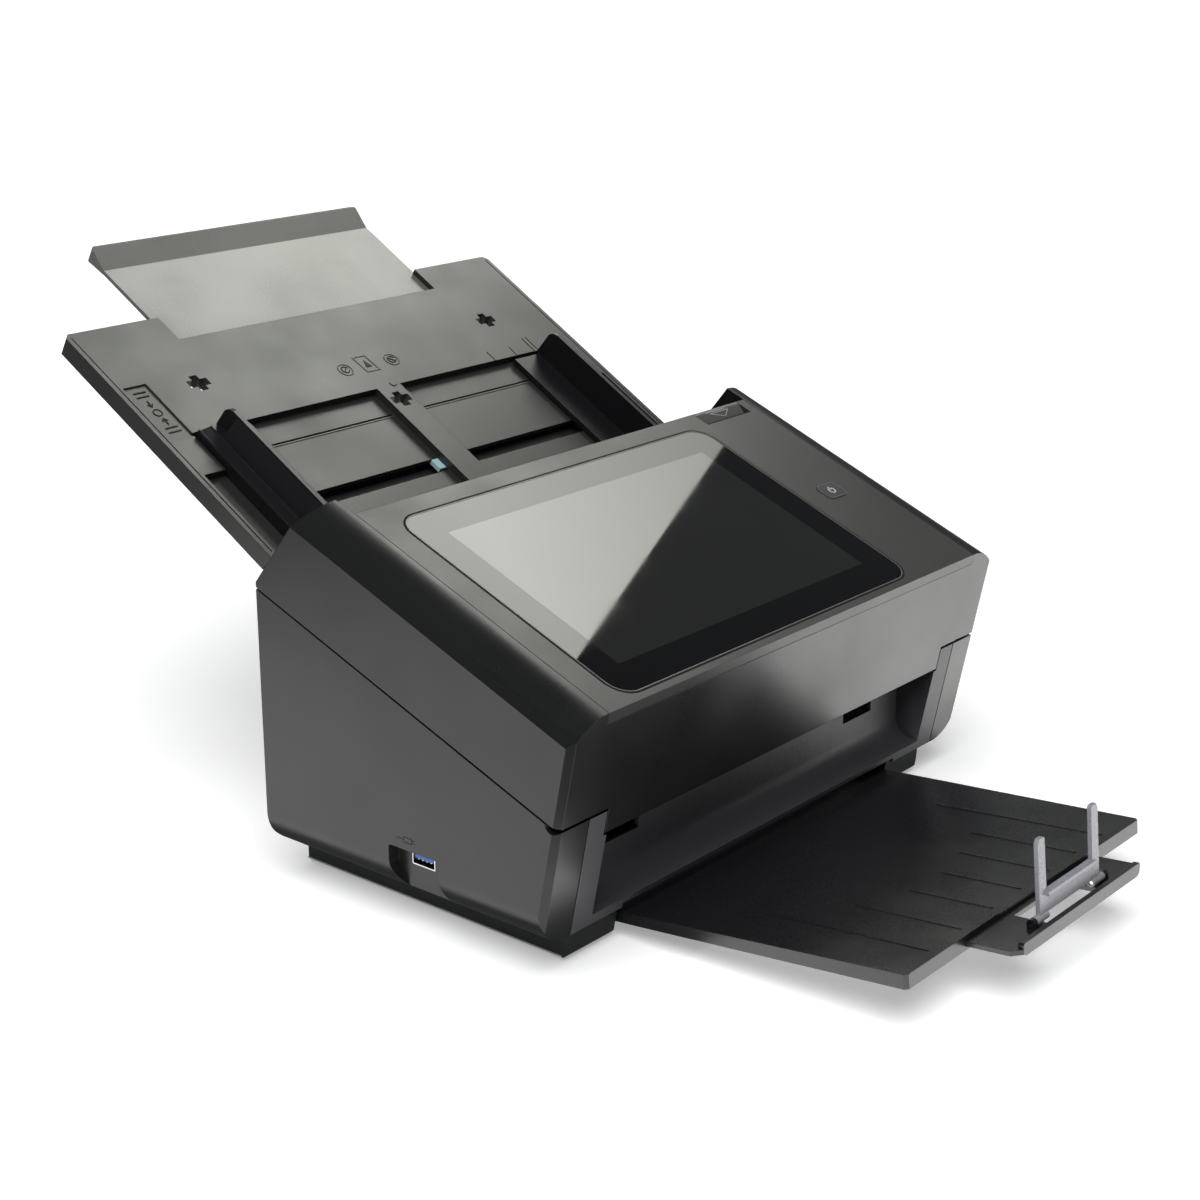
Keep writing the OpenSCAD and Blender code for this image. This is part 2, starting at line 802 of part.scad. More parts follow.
module upper_sensor_glass() {
  color("#8fb3b0") across_path(-110, 110) translate([upper_s[0] + 3, 1.3]) square([14, 1.3]);
}

module hinge_pins() {
  color("#b9bdc1") both_sides() along_x(136.3, 146) translate(hinge_at) circle(hinge_pin_r);
}

module release_lever() {
  color("#3c3d3e") difference() {
    union() {
      across_top(lever_x[0] + 0.3, lever_x[1] - 0.3) polygon([
        [142.6, -5.2], [147, -5.2], [147, -3], [top_length, -3], [top_length, 0], [147.6, 0], [142.6, -2.6]
      ]);
      for (x = [99, 120.5]) across_top(x, x + 3) union() {
        translate(latch_at) circle(4.4);
        polygon([[130.6, -11], [142.6, -4.7], [147, -4.6], [147, -5.2], [143, -6.9], [138, -15]]);
      }
    }
    across_top(90, 140) translate(latch_at) circle(latch_r);
  }
}

module latch_shaft() {
  color("#b9bdc1") across_top(-153.4, 153.4) translate(latch_at) circle(latch_r);
}

hook_x = [150, 153.2];

module latch_hooks() {
  color("#8d9094") both_sides() difference() {
    along_x(hook_x[0], hook_x[1]) polygon([
      [40.6, 154], [42.2, 158.4], [48.2, 158.4], [49.8, 154], [50.4, 116], [51, 103], [43.4, 103],
      [43.2, 116]
    ]);
    across_top(hook_x[0] - 1, hook_x[1] + 1) translate(latch_at) circle(latch_r);
  }
}

module spindle(at, r, half) {
  rod(at, -frame_x[1] + 0.1, frame_x[1] - 0.1, 2);
  tube(at, -half, half, r, 2);
}

module brake_roller() {
  color("#54575a") spindle(brake_at, brake_r, 30);
}

module feed_pinch_roller() {
  color("#d9d7cf") spindle(pinch_at, pinch_r, 62);
}

module exit_pinch_roller() {
  color("#d9d7cf") spindle(exit_pinch_at, exit_pinch_r, 100);
}

// ---------- input tray ----------

notch_x = 87.5;
notch_deep = 17;
edge_deep = 9;
slot_s = [-135, -126];
leg_x = [94, 100];
slot_in = leg_x[0] - guide_travel - 6;
recess_x = [slot_in, 126];
recess_s = -77;
outer_s = -103;
body_end = -158;
tongue_end = -205;

module tray_outline() {
  polygon([
    [-tray_x, body_end], [-tray_x, -2.5], [-tray_x + 2.5, 0], [-notch_x, 0], [-notch_x, -notch_deep],
    [notch_x, -notch_deep], [notch_x, 0], [tray_x - 2.5, 0], [tray_x, -2.5], [tray_x, body_end],
    [tongue_x, body_end - 4], [tongue_x, tongue_end], [-tongue_x, tongue_end],
    [-tongue_x, body_end - 4]
  ]);
}

module cross_hole(x, s) {
  translate([x, s, -20]) linear_extrude(30) union() {
    square([12, 4.6], center = true);
    square([4.6, 10.5], center = true);
  }
}

module input_tray() {
  color("#4c4e4c") on_path() difference() {
    union() {
      difference() {
        translate([0, 0, -tray_deep]) linear_extrude(tray_deep) tray_outline();
        // Underside of the tongue, and the hollow under the skin
        block([-150, -220, -20], [150, body_end + 2, -6.6]);
        block([-tray_x + wall, recess_s + wall, -20], [tray_x - wall, -notch_deep - wall, -2.5]);
        block([-tray_x + wall, body_end + 5, -20], [tray_x - wall, recess_s + wall + 1, -6.6]);
        both_sides() block([notch_x + 4, -30, -20], [tray_x - wall, -wall, -2.5]);
        // The outer edge is thinner than the middle
        both_sides() block([tray_x - 6.5, body_end - 1, -20], [tray_x + 1, 1, -edge_deep]);
      }
      // Rails that carry the extension
      both_sides() block([84, -80, -7.6], [92, -notch_deep, -5.2]);
      both_sides() block([89.4, -80, -7.6], [92, -notch_deep, -2]);
      // Inner side walls, and the wells round the outer openings
      both_sides() block([tray_x - 9, body_end + 2.5, -tray_deep], [tray_x - 6.5, -97.5, -6]);
      for (x = [-99, 99]) block([x - 8, -55, -7], [x + 8, -40, -2]);
      translate([0, pinion_s, -10.2]) cylinder(r = 1.5, h = 9);
    }
    // Slit in the top wall for the extension
    block([-89.3, -notch_deep - 4, -5.2], [89.3, 2, -2.8]);
    // Sunk floors for the paper guides
    both_sides() block([recess_x[0], -210, -recess_deep], [recess_x[1], recess_s, 1]);
    both_sides() block([recess_x[1] - 1, -210, -recess_deep], [138.6, outer_s, 1]);
    both_sides() block([slot_in, slot_s[0], -20], [118, slot_s[1], 1]);
    both_sides() block([recess_x[0] + 1, -93, -recess_deep - 0.7], [recess_x[1] - 1, -91.9, -1]);
    for (x = [-99, 99]) cross_hole(x, -47.5);
    cross_hole(0, -87);
    // Fine groove along each side edge
    both_sides() block([140.4, -155, -0.5], [141, -3, 1]);
    // Paper size marks
    for (x = [78, 95, 109, 112]) block([x, recess_s - 1, -0.5], [x + 0.6, recess_s + (x > 100 ? 11 : 7), 1]);
    // Sunk label field
    block([-138.8, -79, -0.8], [-125.6, -41, 1]);
  }
  // Raised marks: two rings and a sheet
  color("#4c4e4c") on_path() {
    for (x = [-15, 17]) translate([x, -60, 0]) linear_extrude(0.25) difference() {
      circle(4.4);
      circle(3.7);
    }
    linear_extrude(0.25) difference() {
      polygon([[-4, -65], [5, -65], [4, -53], [-5, -53]]);
      polygon([[-3.2, -64.3], [4.2, -64.3], [3.3, -53.7], [-4.2, -53.7]]);
    }
  }
}

module tray_bottom_cover() {
  color("#3a3b3c") on_path() block([-tray_x + 9, body_end + 5, -tray_deep], [tray_x - 9, -100, -10.4]);
}

module input_extension() {
  color("#565855") intersection() {
    across_path(-89, 89) polygon([
      [-32, -5], [40, -5], [extension_out, -6.2], [extension_out, 1.4], [extension_out - 1, 1.8],
      [extension_out - 13.5, -3], [-32, -3]
    ]);
    on_path() translate([0, extension_out / 2 - 16, -8]) linear_extrude(12)
      rounded(178, extension_out + 32, 2.5);
  }
}

wall_x = [110.8, 113.2];
guide_end = -200;

module guide_body() {
  across_path(wall_x[0], wall_x[1]) polygon([
    [guide_end, -1], [-77, -1], [-79.5, guide_h - 3.2], [-81.5, guide_h - 1], [-84.5, guide_h],
    [guide_end, guide_h]
  ]);
  on_path() {
    block([92, guide_end, -3.6], [wall_x[1], -79, -0.5]);
    // Steep outer face, and the low ridge along its foot
    translate([0, -88, 0]) rotate([90, 0, 0]) linear_extrude(-guide_end - 88)
      polygon([[113, 3], [117.8, 3], [117.6, 4.6], [113.2, guide_h - 1]]);
    translate([0, -79, 0]) rotate([90, 0, 0]) linear_extrude(-guide_end - 79)
      polygon([
        [113, -3.6], [125, -3.6], [125, 3], [124, 3.4], [123.2, 2.6], [118.4, 3.6], [117.6, 4.2],
        [113, 4.2]
      ]);
    block([leg_x[0], slot_s[0] + 0.6, -6.7], [leg_x[1], slot_s[1] - 0.6, -3.6]);
  }
}

rack_h = [-10, -7];

// Left guide's rack, from its leg to just past the pinion, on the pinion's upper side
module guide_rack() {
  translate([0, pinion_s, rack_h[0]]) linear_extrude(rack_h[1] - rack_h[0]) union() {
    translate([-leg_x[1], pinion_r + rack_module]) square([leg_x[1] + 5, 3]);
    translate([-35.5 * PI * rack_module, pinion_r]) mirror([0, 1]) rack_teeth(37, rack_module);
  }
  block([-leg_x[1], pinion_s + 0.4, rack_h[0]], [-leg_x[0], pinion_s + pinion_r + 3, rack_h[1]]);
  block([-leg_x[1], pinion_s + 0.4, rack_h[0]], [-leg_x[0], slot_s[1] - 0.6, -6]);
}

module left_paper_guide() {
  color("#2b2c2d") {
    mirror([1, 0, 0]) guide_body();
    on_path() guide_rack();
  }
}

module right_paper_guide() {
  color("#2b2c2d") {
    guide_body();
    on_path() translate([0, 2 * pinion_s, 0]) rotate(180) guide_rack();
  }
}

module guide_pinion() {
  color("#d9c9a0") on_path() translate([0, pinion_s, rack_h[0]]) linear_extrude(rack_h[1] - rack_h[0])
    rotate(15) gear(pinion_teeth, rack_module, 1.5 + running);
}

module slot_latch() {
  color("#9fc3c9") on_path()
    block([-slot_in - 4.4, slot_s[0] + 2, -6.5], [-slot_in - 0.2, slot_s[1] - 0.2, -4.1]);
}

// ---------- output tray ----------

ext_half = 53;
channel_h = [-4.8, -2.2];
rib_x = [-72.5, -48, -23.5, 0, 23.5, 47, 71];
rib_rear = [-13, -44, -55, -56, -51, -43, -10];
tray_end = 55;

module out_section(grow) {
  polygon([
    [out_front - grow, -6.4 - grow], [tray_end + grow, -4.6 - grow], [tray_end + grow, grow],
    [out_front - grow, grow]
  ]);
}

module output_tray() {
  color("#242528") on_output() difference() {
    union() {
      intersection() {
        translate([0, 0, -8]) linear_extrude(9) polygon([
          [-96.5, out_front + 1.5], [-95, out_front], [95, out_front], [96.5, out_front + 1.5],
          [101.7, 30], [102.3, tray_end], [-102.3, tray_end], [-101.7, 30]
        ]);
        translate([-110, 0, 0]) rotate([90, 0, 90]) linear_extrude(220) out_section(0);
      }
      for (i = [0 : len(rib_x) - 1])
        block([rib_x[i] - 0.5, out_front + 5, -0.5], [rib_x[i] + 0.5, rib_rear[i], 0.4]);
      both_sides() translate([100, 50, -2.6]) rotate([0, 90, 0]) cylinder(r = 1.5, h = 6);
    }
    // Channel of the extension, open below between its two lips
    block([-ext_half - 0.3, out_front - 1, channel_h[0]], [ext_half + 0.3, 30, channel_h[1]]);
    block([-ext_half + 4, out_front - 1, -9], [ext_half - 4, 30, channel_h[1]]);
    // Hollow underside beside the channel
    both_sides() block([ext_half + 3, out_front + 3, -9], [93, tray_end - 4, channel_h[1]]);
  }
}

module output_extension() {
  color("#2b2c2f") on_output() difference() {
    union() {
      translate([0, 0, -4.6]) linear_extrude(2.2) polygon([
        [-ext_half, -14], [-ext_half, ext_front + 4], [-ext_half + 4, ext_front],
        [ext_half - 4, ext_front], [ext_half, ext_front + 4], [ext_half, -14]
      ]);
      // Raised front rim
      translate([0, ext_front + 2.6, 0]) rotate([90, 0, 0]) linear_extrude(2.6) polygon([
        [-ext_half + 4, -4.6], [-ext_half + 6, -5.6], [ext_half - 6, -5.6], [ext_half - 4, -4.6],
        [ext_half - 3, -0.8], [ext_half - 3.8, 0], [-ext_half + 4.8, 0], [-ext_half + 4, -0.8]
      ]);
      both_sides() translate([28.6, 0, 0]) rotate([90, 0, 90]) linear_extrude(2.4) union() {
        translate(stop_at) circle(2);
        translate([stop_at[0] - 2, -4]) square([4, 4.2]);
      }
    }
    block([-21, ext_front + 5, -10], [21, -103, 1]);
    both_sides() translate([25, 0, 0]) rotate([90, 0, 90]) linear_extrude(10) translate(stop_at) circle(1);
  }
}

// Pivot of the stopper, as [y, z] in the output tray's frame
stop_at = [-116.6, 0.2];
prong_x = [19, 25];

module stopper() {
  color([0.55, 0.55, 0.6]) on_output() translate([0, stop_at[0], stop_at[1]]) difference() {
    union() {
      both_sides() {
        translate([0, 1, 0]) rotate([90, 0, 0]) linear_extrude(2) polygon([
          [prong_x[0], 0], [prong_x[1], 0], [prong_x[1], stopper_h - 2.2], [prong_x[1] - 1.2, stopper_h],
          [prong_x[0] + 1.4, stopper_h], [prong_x[0] + 0.6, stopper_h - 0.8]
        ]);
        translate([prong_x[0], 0, 0]) rotate([0, 90, 0]) cylinder(r = 2, h = 28.3 - prong_x[0]);
      }
      block([-prong_x[0] - 1, -1, 1.4], [prong_x[0] + 1, 1, 10.4]);
      block([-prong_x[0] - 1, -2.6, 8.6], [prong_x[0] + 1, 1, 10.4]);
    }
    both_sides() translate([prong_x[0] - 3, 0, 0]) rotate([0, 90, 0]) cylinder(r = 1 + running, h = 14);
  }
}

module stopper_pins() {
  color("#b9bdc1") on_output() translate([0, stop_at[0], stop_at[1]]) both_sides()
    translate([prong_x[0] + 0.5, 0, 0]) rotate([0, 90, 0]) cylinder(r = 1, h = 10.5);
}

base_plinth();
rubber_feet();
chassis();
left_side_cover();
right_side_cover();
output_chute();
rear_cover();
feed_deck();
lower_image_sensor();
lower_sensor_glass();
main_board();
board_components();
drive_motor();
shaft_bushes();
timing_belt();
usb_port();
network_port();
usb_device_port();
power_inlet();
chassis_screws();
feed_shaft();
feed_rollers();
feed_gear();
feed_pulley();
pick_shaft();
pick_rollers();
pick_gear();
exit_shaft();
exit_rollers();
exit_pulley();
idler_gear();
motor_pinion();
cover_shell();
top_panel();
screen_glass();
display_module();
control_board();
cover_frame();
upper_image_sensor();
upper_sensor_glass();
hinge_pins();
release_lever();
latch_shaft();
latch_hooks();
power_button();
brake_roller();
feed_pinch_roller();
exit_pinch_roller();
input_tray();
tray_bottom_cover();
input_extension();
left_paper_guide();
right_paper_guide();
guide_pinion();
slot_latch();
output_tray();
output_extension();
stopper();
stopper_pins();
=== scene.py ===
import json
import math

import bmesh
import bpy
from mathutils import Matrix, Vector


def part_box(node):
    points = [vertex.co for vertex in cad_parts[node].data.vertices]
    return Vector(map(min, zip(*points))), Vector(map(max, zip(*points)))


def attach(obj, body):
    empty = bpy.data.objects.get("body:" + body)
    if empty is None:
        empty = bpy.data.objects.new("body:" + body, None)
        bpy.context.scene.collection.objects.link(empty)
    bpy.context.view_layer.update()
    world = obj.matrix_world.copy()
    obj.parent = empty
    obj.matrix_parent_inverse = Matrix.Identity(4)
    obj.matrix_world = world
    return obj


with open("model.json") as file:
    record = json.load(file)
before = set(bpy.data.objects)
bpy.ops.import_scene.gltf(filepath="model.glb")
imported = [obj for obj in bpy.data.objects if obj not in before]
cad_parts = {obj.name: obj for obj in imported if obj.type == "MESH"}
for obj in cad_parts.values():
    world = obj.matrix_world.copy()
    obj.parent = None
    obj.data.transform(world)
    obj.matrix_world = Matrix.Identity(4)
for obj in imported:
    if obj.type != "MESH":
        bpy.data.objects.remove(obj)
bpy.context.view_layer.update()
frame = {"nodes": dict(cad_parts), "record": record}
MM = 0.001
RECORD = frame["record"]
NODES = frame["nodes"]


# ---------- the camera, the floor and the light ----------

# The place and aim of the camera, as solved from the photograph
CAMERA_PLACE = (-0.7596, -0.6292, 0.4302)
CAMERA_AIM = (0.7297, 0.6081, -0.3127)
SENSOR_WIDTH = 36.0
FOCAL_LENGTH = 66.54
# The world's strength on the object, and where the camera looks past the floor
WORLD_ON_OBJECT, WORLD_BEHIND = 0.10, 1.15
WORLD_COLOUR = (0.9, 0.95, 1.0, 1)
FLOOR_REACH = 30
FLOOR_COLOUR = (0.86, 0.86, 0.86, 1)
FLOOR_GLOW = 0.32
# The sun's spread is in degrees
SUN_ENERGY = 3.1
SUN_SPREAD = 50
SUN_AIM = (0.45, 0.25, -0.86)
# Stretches of the floor that show in reflections: two corners and a strength
TABLE_CARDS = {
    "table_left": ((-0.62, -0.16), (-0.17, 0.42), 1.65),
    "table_front": ((-0.17, -1.4), (1.6, -0.125), 2.75),
    "table_right": ((0.17, -0.125), (1.8, 1.4), 1.6),
    "table_rear": ((-0.17, 0.11), (0.17, 1.4), 1.4),
}
TABLE_COLOUR = (1.0, 1.0, 0.985)
TABLE_HEIGHT = 0.0006


def make_camera():
    camera = bpy.data.objects.new("camera", bpy.data.cameras.new("camera"))
    bpy.context.scene.collection.objects.link(camera)
    camera.location = CAMERA_PLACE
    camera.rotation_mode = "QUATERNION"
    camera.rotation_quaternion = Vector(CAMERA_AIM).to_track_quat("-Z", "Y")
    camera.data.sensor_width = SENSOR_WIDTH
    camera.data.lens = FOCAL_LENGTH
    camera.data.clip_start, camera.data.clip_end = 0.02, 200.0
    bpy.context.scene.camera = camera


def plain_mesh(name, points, faces):
    mesh = bpy.data.meshes.new(name)
    mesh.from_pydata([Vector(p) for p in points], [], faces)
    mesh.update()
    piece = bpy.data.objects.new(name, mesh)
    bpy.context.scene.collection.objects.link(piece)
    return piece


def emission(name, colour, strength):
    made = bpy.data.materials.new(name)
    made.use_nodes = True
    tree = made.node_tree
    tree.nodes.clear()
    out = tree.nodes.new("ShaderNodeOutputMaterial")
    glow = tree.nodes.new("ShaderNodeEmission")
    glow.inputs["Color"].default_value = (*colour, 1)
    glow.inputs["Strength"].default_value = strength
    tree.links.new(glow.outputs[0], out.inputs["Surface"])
    return made


def light_card(name, centre, across, up, colour, strength):
    """A flat glowing card, seen in reflections only. across and up are its half sides."""
    c, a, u = Vector(centre), Vector(across), Vector(up)
    card = plain_mesh(name, [c - a - u, c + a - u, c + a + u, c - a + u], [(0, 1, 2, 3)])
    card.data.materials.append(emission(name, colour, strength))
    card.visible_camera = card.visible_shadow = card.visible_diffuse = False
    return card


def fade_with_height(card, low, high, weak, strong):
    """The card glows weaker towards its lower edge."""
    tree = card.data.materials[0].node_tree
    glow = next(n for n in tree.nodes if n.type == "EMISSION")
    place = node(tree, "ShaderNodeSeparateXYZ")
    tree.links.new(node(tree, "ShaderNodeNewGeometry").outputs["Position"], place.inputs[0])
    tree.links.new(ranged(tree, place.outputs["Z"], weak, strong, (low, high)), glow.inputs["Strength"])


def floor_card(name, low, high, strength):
    """A stretch of the floor that glows in reflections only. low and high are its corners."""
    middle = ((low[0] + high[0]) / 2, (low[1] + high[1]) / 2, TABLE_HEIGHT)
    across, along = (high[0] - low[0]) / 2, (high[1] - low[1]) / 2
    light_card(name, middle, (across, 0, 0), (0, along, 0), TABLE_COLOUR, strength)


def make_world():
    world = bpy.data.worlds.new("studio")
    bpy.context.scene.world = world
    world.use_nodes = True
    background = world.node_tree.nodes["Background"]
    background.inputs["Color"].default_value = WORLD_COLOUR
    seen = node(world.node_tree, "ShaderNodeLightPath").outputs["Is Camera Ray"]
    level = ranged(world.node_tree, seen, WORLD_ON_OBJECT, WORLD_BEHIND, (0, 1))
    world.node_tree.links.new(level, background.inputs["Strength"])
    bpy.context.scene.view_settings.view_transform = "Standard"


def make_floor():
    """A pale floor that the object's reflections don't see: the cards stand in for it there."""
    r = FLOOR_REACH
    floor = plain_mesh("floor", [(-r, -r, 0), (r, -r, 0), (r, r, 0), (-r, r, 0)], [(0, 1, 2, 3)])
    pale, tree, shader = principled("floor_pale")
    shader.inputs["Base Color"].default_value = FLOOR_COLOUR
    shader.inputs["Roughness"].default_value = 0.9
    shader.inputs["Specular IOR Level"].default_value = 0.1
    shader.inputs["Emission Color"].default_value = (1, 1, 1, 1)
    shader.inputs["Emission Strength"].default_value = FLOOR_GLOW
    floor.data.materials.append(pale)
    floor.visible_glossy = False


def make_sun():
    """A very soft light from above, which reflections don't see."""
    sun = bpy.data.objects.new("top_light", bpy.data.lights.new("top_light", "SUN"))
    bpy.context.scene.collection.objects.link(sun)
    sun.data.energy = SUN_ENERGY
    sun.data.angle = math.radians(SUN_SPREAD)
    sun.visible_glossy = False
    sun.rotation_mode = "QUATERNION"
    sun.rotation_quaternion = Vector(SUN_AIM).to_track_quat("-Z", "Y")


def make_cards():
    # The big soft box behind on the right, whose edge crosses the screen
    box = light_card(
        "soft_box", centre=(1.3, 0.73, 1.62), across=(0, 0.43, -0.06), up=(0, -0.10, 0.72),
        colour=(0.985, 1.0, 0.92), strength=5.5,
    )
    fade_with_height(box, 1.0, 1.45, 2.3, 5.6)
    # A small card high on the right, for the extension's lip and the lever's hollow
    light_card(
        "lip_box", centre=(0.65, -0.06, 0.95), across=(0.21, 0.04, -0.06), up=(0.005, -0.10, -0.05),
        colour=(1.0, 1.0, 0.96), strength=2.4,
    )
    for name, (low, high, strength) in TABLE_CARDS.items():
        floor_card(name, low, high, strength)


def make_studio():
    make_world()
    make_floor()
    make_sun()
    make_cards()


# ---------- materials ----------

# Rounding that the light sees on every edge, and how much a plastic's gloss varies
EDGE_RADIUS = 0.0004
GLOSS_SPREAD = 0.05
# Fine scratches in metal
SCRATCH_SCALE = 300.0
SCRATCH_DEPTH = 0.00001
# Edges turned by more than this stay sharp, and corners closer than this are joined
SHARP_ANGLE = 17
MERGE_DISTANCE = 0.000002
# The sockets of a Mix node that is set to colours, which share their names with its others
MIX_FACTOR, MIX_FIRST, MIX_SECOND, MIX_RESULT = 0, 6, 7, 2


def principled(name):
    made = bpy.data.materials.new(name)
    made.use_nodes = True
    tree = made.node_tree
    tree.nodes.clear()
    out = tree.nodes.new("ShaderNodeOutputMaterial")
    shader = tree.nodes.new("ShaderNodeBsdfPrincipled")
    tree.links.new(shader.outputs[0], out.inputs["Surface"])
    return made, tree, shader


def node(tree, kind, **values):
    """A new node, with each value set on its socket or, where it has none, on the node itself."""
    made = tree.nodes.new(kind)
    for key, value in values.items():
        if key in made.inputs:
            made.inputs[key].default_value = value
        else:
            setattr(made, key, value)
    return made


def noise(tree, coords, scale, detail=2.0, rough=0.5):
    made = node(tree, "ShaderNodeTexNoise", Scale=scale, Detail=detail, Roughness=rough)
    tree.links.new(coords, made.inputs["Vector"])
    return made.outputs["Fac"]


def ranged(tree, value, low, high, source=(0.3, 0.7)):
    """The value, with its source range spread over low to high."""
    made = node(tree, "ShaderNodeMapRange")
    made.inputs["From Min"].default_value, made.inputs["From Max"].default_value = source
    made.inputs["To Min"].default_value, made.inputs["To Max"].default_value = low, high
    tree.links.new(value, made.inputs["Value"])
    return made.outputs["Result"]


def mixed(tree, factor, first, second):
    """The colour between two others. The first may be a colour or the output of a node."""
    made = node(tree, "ShaderNodeMix", data_type="RGBA")
    tree.links.new(factor, made.inputs[MIX_FACTOR])
    if isinstance(first, bpy.types.NodeSocket):
        tree.links.new(first, made.inputs[MIX_FIRST])
    else:
        made.inputs[MIX_FIRST].default_value = first
    made.inputs[MIX_SECOND].default_value = second
    return made.outputs[MIX_RESULT]


def shade(colour, factor):
    return (*[min(1.0, c * factor) for c in colour], 1)


def plastic(name, colour, rough, grain=0.0006, depth=0.00003, wear=1.7):
    """Moulded plastic: fine grain, clouded gloss, rounded and slightly rubbed edges."""
    made, tree, shader = principled(name)
    coords = node(tree, "ShaderNodeTexCoord").outputs["Object"]
    clouds = noise(tree, coords, 22.0, 3.0)
    fine = noise(tree, coords, 1.0 / grain, 2.0, 0.6)

    # How far the rounded normal is from the flat one marks the edges
    soft = node(tree, "ShaderNodeBevel", Radius=EDGE_RADIUS)
    soft.samples = 4
    flat = node(tree, "ShaderNodeNewGeometry").outputs["Normal"]
    dot = node(tree, "ShaderNodeVectorMath", operation="DOT_PRODUCT")
    tree.links.new(soft.outputs[0], dot.inputs[0])
    tree.links.new(flat, dot.inputs[1])
    rubbed = ranged(tree, dot.outputs["Value"], 1.0, 0.0, (0.72, 0.985))

    tone = mixed(tree, clouds, shade(colour, 0.92), shade(colour, 1.08))
    worn = mixed(tree, rubbed, tone, shade(colour, wear))
    tree.links.new(worn, shader.inputs["Base Color"])

    gloss = ranged(tree, clouds, rough - GLOSS_SPREAD, rough + GLOSS_SPREAD)
    speck = ranged(tree, fine, -0.03, 0.03)
    both = node(tree, "ShaderNodeMath", operation="ADD")
    tree.links.new(gloss, both.inputs[0])
    tree.links.new(speck, both.inputs[1])
    tree.links.new(both.outputs[0], shader.inputs["Roughness"])

    bump = node(tree, "ShaderNodeBump", Strength=1.0, Distance=depth)
    tree.links.new(fine, bump.inputs["Height"])
    tree.links.new(soft.outputs[0], bump.inputs["Normal"])
    tree.links.new(bump.outputs[0], shader.inputs["Normal"])
    return made


def metal(name, colour, rough, brushed=(1, 1, 1)):
    """Metal with fine scratches, stretched along the axis with the smallest number."""
    made, tree, shader = principled(name)
    shader.inputs["Metallic"].default_value = 1.0
    coords = node(tree, "ShaderNodeTexCoord").outputs["Object"]
    mapping = node(tree, "ShaderNodeMapping")
    mapping.inputs["Scale"].default_value = brushed
    tree.links.new(coords, mapping.inputs["Vector"])
    lines = noise(tree, mapping.outputs[0], SCRATCH_SCALE, 4.0, 0.7)
    stain = noise(tree, coords, 30.0, 3.0)
    tree.links.new(ranged(tree, lines, rough - 0.08, rough + 0.10), shader.inputs["Roughness"])
    tone = mixed(tree, stain, shade(colour, 0.85), shade(colour, 1.05))
    tree.links.new(tone, shader.inputs["Base Color"])
    bump = node(tree, "ShaderNodeBump", Strength=1.0, Distance=SCRATCH_DEPTH)
    tree.links.new(lines, bump.inputs["Height"])
    tree.links.new(bump.outputs[0], shader.inputs["Normal"])
    return made


# Colour, roughness, size and depth of the grain in metres, and how much paler a rubbed edge is
PLASTICS = {
    "shell_plastic": {"colour": (0.009, 0.0094, 0.0094), "rough": 0.33, "grain": 0.0005, "depth": 0.000012},
    "panel_plastic": {"colour": (0.026, 0.026, 0.025), "rough": 0.38, "grain": 0.0005, "depth": 0.00002},
    # The chute's grey is paler than its black plastic: painted light, standing in for the light that falls
    # into the shaded chute
    "chute_plastic": {"colour": (0.050, 0.050, 0.056), "rough": 0.50, "grain": 0.0011, "depth": 0.00010},
    "tray_plastic": {"colour": (0.022, 0.023, 0.021), "rough": 0.34, "grain": 0.0006, "depth": 0.00002},
    "extension_plastic": {"colour": (0.105, 0.107, 0.096), "rough": 0.26, "grain": 0.0006, "depth": 0.000012},
    "guide_plastic": {"colour": (0.008, 0.008, 0.009), "rough": 0.33, "grain": 0.0006, "depth": 0.00002},
    "stacker_plastic": {"colour": (0.010, 0.010, 0.0115), "rough": 0.28, "grain": 0.0006, "depth": 0.00002},
    "button_plastic": {"colour": (0.040, 0.040, 0.041), "rough": 0.30, "grain": 0.0006, "depth": 0.00001},
    "black_plastic": {"colour": (0.012, 0.012, 0.013), "rough": 0.45},
    "gear_plastic": {"colour": (0.62, 0.59, 0.50), "rough": 0.42, "wear": 1.1},
    "latch_plastic": {"colour": (0.35, 0.52, 0.56), "rough": 0.40, "wear": 1.2},
    "pinch_plastic": {"colour": (0.50, 0.49, 0.46), "rough": 0.38, "wear": 1.1},
    "roller_rubber": {"colour": (0.030, 0.030, 0.032), "rough": 0.75, "grain": 0.0004, "depth": 0.00005},
    "foot_rubber": {"colour": (0.015, 0.015, 0.015), "rough": 0.80, "grain": 0.0007, "depth": 0.00005},
    "board": {"colour": (0.010, 0.09, 0.035), "rough": 0.35, "grain": 0.002, "depth": 0.00002, "wear": 1.5},
    "chips": {"colour": (0.012, 0.012, 0.013), "rough": 0.55},
    # Finishes of the small details, and the painted highlights among them
    "pale_print": {"colour": (0.60, 0.61, 0.62), "rough": 0.45, "wear": 1.1},
    # Paler than the tray: paints the highlight along the tops of the recess ribs
    "raised_rib_highlight": {"colour": (0.055, 0.056, 0.052), "rough": 0.30, "wear": 1.4},
    "port_blue": {"colour": (0.03, 0.16, 0.62), "rough": 0.40, "wear": 1.2},
    "tray_mark": {"colour": (0.004, 0.004, 0.004), "rough": 0.6, "wear": 1.1},
    "lever_plastic": {"colour": (0.085, 0.086, 0.080), "rough": 0.34, "depth": 0.00002},
    "plinth_plastic": {"colour": (0.018, 0.021, 0.020), "rough": 0.36, "depth": 0.00002},
    # A pale grey: the painted highlight line at the plinth's foot, and the lever's raised marks
    "edge_light": {"colour": (0.32, 0.33, 0.33), "rough": 0.35, "wear": 1.2},
    "black_joint": {"colour": (0.003, 0.003, 0.003), "rough": 0.8, "wear": 1.1},
    # A pale glossy grey that paints the highlights on the thin rims round the screen's glass and the button
    "painted_edge_highlight": {"colour": (0.11, 0.11, 0.108), "rough": 0.25, "wear": 1.3},
}
